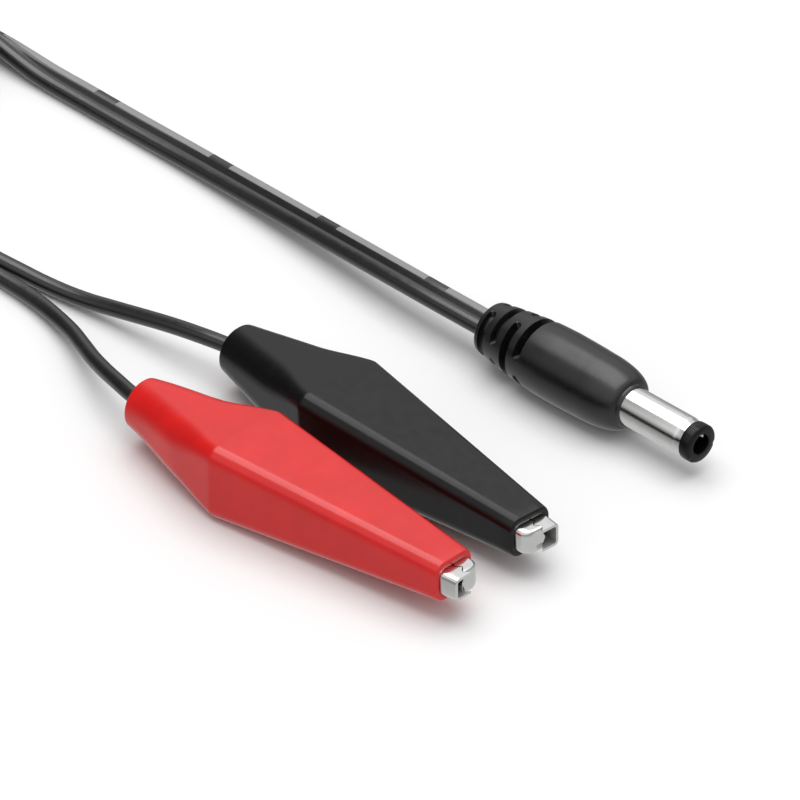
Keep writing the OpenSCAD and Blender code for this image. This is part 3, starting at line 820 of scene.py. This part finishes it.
def make_plug():
    slots_end = 10
    xs = list(np.arange(0, 0.4, 0.08)) + list(np.arange(0.4, slots_end, 0.09))
    xs += list(np.arange(slots_end, 19.5, 0.5))
    xs += [
        HANDLE_LEN - LIP_LEN - DOME_LEN * (1 - math.sin(math.radians(a)))
        for a in range(0, 88, 4)
    ]
    profile = [(0, 0.6), (0, RELIEF_R - 0.4)]
    profile += [(x, handle_radius(x)) for x in xs[1:]]
    profile += [
        (HANDLE_LEN - LIP_LEN, LIP_R + 0.02), (HANDLE_LEN - LIP_LEN + 0.05, LIP_R - 0.12),
        (HANDLE_LEN - 0.12, LIP_R - 0.16), (HANDLE_LEN, LIP_R - 0.28),
        (HANDLE_LEN, BARREL_R), (HANDLE_LEN - 0.5, BARREL_R - 0.1), (1, 0.6),
    ]

    def radius(x, r, angles):
        if r > SLOT_FLOOR and x < slots_end:
            return slotted(x, r, angles)
        return np.full(len(angles), float(r))

    points, faces = turned(profile, 144, radius)
    handle = piece(
        "plug_grip", points + PLUG_AT, faces, [HANDLE_PVC], "lead", 40
    )
    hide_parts("plug_handle")

    roll = 0.13

    def seamed(x, r, angles):
        """A fine closed seam along the barrel, just behind its top."""
        seam = math.radians(75)
        off = np.abs(angles - seam)
        dip = 0.03 * np.clip(1 - off / 0.035, 0, 1) if r > BARREL_R - 0.01 else 0
        return np.full(len(angles), float(r)) - dip

    sleeve_profile = [
        (20, BARREL_R - 0.35), (20, BARREL_R - 0.2), (HANDLE_LEN - 0.6, BARREL_R - 0.2),
        (HANDLE_LEN - 0.5, BARREL_R), (BARREL_END - 1.35, BARREL_R),
        (BARREL_END - 1.2, BARREL_R - 0.02), (BARREL_END - 0.95, BARREL_R - roll + 0.02),
        (BARREL_END - 0.75, BARREL_R - roll), (BARREL_END - 0.05, BARREL_R - roll),
        (BARREL_END, BARREL_R - roll - 0.06), (BARREL_END, BARREL_R - 0.35),
    ]
    points, faces = turned(sleeve_profile, 180, seamed)
    sleeve = piece(
        "barrel_tube", points + PLUG_AT, faces, [BARREL_PLATE], "lead", 40
    )
    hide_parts("barrel_sleeve")

    def notched(x, r, angles):
        """Three shallow moulding notches round the nose ring."""
        radii = np.full(len(angles), float(r))
        if x > BARREL_END + 0.1 and r > 2.2:
            for a in (100, 220, 340):
                turned_off = (angles - math.radians(a) + math.pi) % (2 * math.pi) - math.pi
                radii -= 0.12 * np.clip((0.13 - np.abs(turned_off)) / 0.03, 0, 1)
        return radii

    bore = 1.45
    nose_profile = [
        (21, bore), (21, BARREL_R - 0.4), (BARREL_END, BARREL_R - 0.4),
        (BARREL_END + 0.01, BARREL_R - 0.02), (BARREL_END + 0.2, BARREL_R),
        (NOSE_END - 0.3, BARREL_R), (NOSE_END - 0.12, BARREL_R - 0.1), (NOSE_END, BARREL_R - 0.3),
        (NOSE_END, bore + 0.15), (NOSE_END - 0.12, bore),
    ]
    points, faces = turned(nose_profile, 144, notched)
    nose = piece(
        "nose_ring", points + PLUG_AT, faces, [NOSE_PLASTIC], "lead", 35
    )
    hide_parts("barrel_insulator")

    # The contact tube, set back in the bore, and one leaf that reaches forward
    tube_profile = [(20, 1.05), (20, 1.4), (BARREL_END - 1.2, 1.4), (BARREL_END - 1.2, 1.05)]
    points, faces = turned(tube_profile, 48)
    leaf_steps = 7
    arc = np.radians(np.linspace(28, 72, leaf_steps))
    rings = []
    for x, r in ((BARREL_END - 1.4, 1.4), (BARREL_END + 0.6, 1.4), (BARREL_END + 1.0, 1.25)):
        outer, inner = (
            np.column_stack([np.full(leaf_steps, x), q * np.cos(arc), q * np.sin(arc)])
            for q in (r, r - 0.3)
        )
        rings.append(np.concatenate([outer, inner[::-1]]))
    leaf_points, leaf_faces = lofted(rings)
    shift = len(points)
    faces += [tuple(i + shift for i in f) for f in leaf_faces]
    contact = piece(
        "pin_contact", np.concatenate([points, leaf_points]) + PLUG_AT, faces,
        [CONTACT_PLATE], "lead", 40,
    )
    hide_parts("centre_contact")


make_plug()

# Small CAD parts inside, which keep their shape and get a real finish
for node, material_pick in (
    ("plug_core", INNER_PLASTIC), ("plug_wire_ends", TINNED_COPPER),
    ("red_wire_end", TINNED_COPPER), ("black_wire_end", TINNED_COPPER),
    ("red_jaw_rivet", SPRING_PLATE), ("black_jaw_rivet", SPRING_PLATE),
):
    for material_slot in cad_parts[node].material_slots:
        material_slot.material = material_pick

# ---------------------------------------------------------------- studio


def make_floor():
    s = Shader("floor", Specular_IOR_Level=0.0)
    s.colour(s.mix(s.spread(s.noise(6, 2), 0, 1), (0.79, 0.79, 0.79), (0.81, 0.81, 0.81)))
    s.main.inputs["Roughness"].default_value = 0.9
    mesh = bpy.data.meshes.new("floor")
    half, z = 4, -0.00005
    mesh.from_pydata(
        [(-half, -half, z), (half, -half, z), (half, half, z), (-half, half, z)],
        [], [(0, 1, 2, 3)],
    )
    mesh.materials.append(s.material)
    floor = bpy.data.objects.new("floor", mesh)
    bpy.context.scene.collection.objects.link(floor)
    floor.visible_glossy = False


# The overhead softbox, as lengths over its height: the sheen along the boots'
# upper edges is its reflection
BOX_HEIGHT = 1.2
BOX_LEFT, BOX_RIGHT = -0.85, 0.5
BOX_FRONT, BOX_BACK = -0.42, 0.68
BOX_WATTS = 14


def make_softbox():
    data = bpy.data.lights.new("softbox", "AREA")
    data.shape = "RECTANGLE"
    data.size = (BOX_RIGHT - BOX_LEFT) * BOX_HEIGHT
    data.size_y = (BOX_BACK - BOX_FRONT) * BOX_HEIGHT
    data.energy = BOX_WATTS
    light = bpy.data.objects.new("softbox", data)
    light.location = VIEW_CENTRE + BOX_HEIGHT * Vector(
        ((BOX_LEFT + BOX_RIGHT) / 2, (BOX_FRONT + BOX_BACK) / 2, 1)
    )
    light.visible_camera = False
    bpy.context.scene.collection.objects.link(light)


# The room's brightness from straight down to straight up
ROOM = (
    (-1, 0.6), (-0.5, 0.55), (-0.2, 0.38), (0, 0.25),
    (0.2, 0.4), (0.36, 0.72), (0.55, 0.8), (1, 0.8),
)
# Dark cards at the left: the low front one gives the metal its dark band, and
# the higher one the shade on the boots' necks. Towards, half angle, darkness
CARDS = (((-0.57, -0.8, -0.15), 42, 0.7), ((-0.9, -0.15, 0.38), 50, 0.1))


def make_world():
    world = bpy.data.worlds.new("studio")
    world.use_nodes = True
    tree = world.node_tree
    towards = tree.nodes.new("ShaderNodeTexCoord").outputs["Generated"]
    parts = tree.nodes.new("ShaderNodeSeparateXYZ")
    tree.links.new(towards, parts.inputs["Vector"])
    height = tree.nodes.new("ShaderNodeMapRange")
    height.inputs["From Min"].default_value = -1
    tree.links.new(parts.outputs["Z"], height.inputs["Value"])
    ramp = tree.nodes.new("ShaderNodeValToRGB")
    stops = ramp.color_ramp.elements
    for z, _ in ROOM[1:-1]:
        stops.new((z + 1) / 2)
    for stop, (_, value) in zip(stops, ROOM):
        stop.color = (value, value, value, 1)
    tree.links.new(height.outputs["Result"], ramp.inputs["Fac"])
    strength = None
    for card_towards, half_angle, dark in CARDS:
        near = tree.nodes.new("ShaderNodeVectorMath")
        near.operation = "DOT_PRODUCT"
        near.inputs[1].default_value = Vector(card_towards).normalized()
        tree.links.new(towards, near.inputs[0])
        card = tree.nodes.new("ShaderNodeMapRange")
        card.interpolation_type = "SMOOTHSTEP"
        for key, number in (
            ("From Min", math.cos(math.radians(half_angle))), ("From Max", 1),
            ("To Min", 1), ("To Max", dark),
        ):
            card.inputs[key].default_value = number
        tree.links.new(near.outputs["Value"], card.inputs["Value"])
        if strength is None:
            strength = card.outputs["Result"]
        else:
            both = tree.nodes.new("ShaderNodeMath")
            both.operation = "MULTIPLY"
            tree.links.new(strength, both.inputs[0])
            tree.links.new(card.outputs["Result"], both.inputs[1])
            strength = both.outputs["Value"]
    background = tree.nodes["Background"]
    tree.links.new(ramp.outputs["Color"], background.inputs["Color"])
    tree.links.new(strength, background.inputs["Strength"])
    bpy.context.scene.world = world


make_floor()
make_softbox()
make_world()
bpy.context.scene.view_settings.view_transform = "Standard"
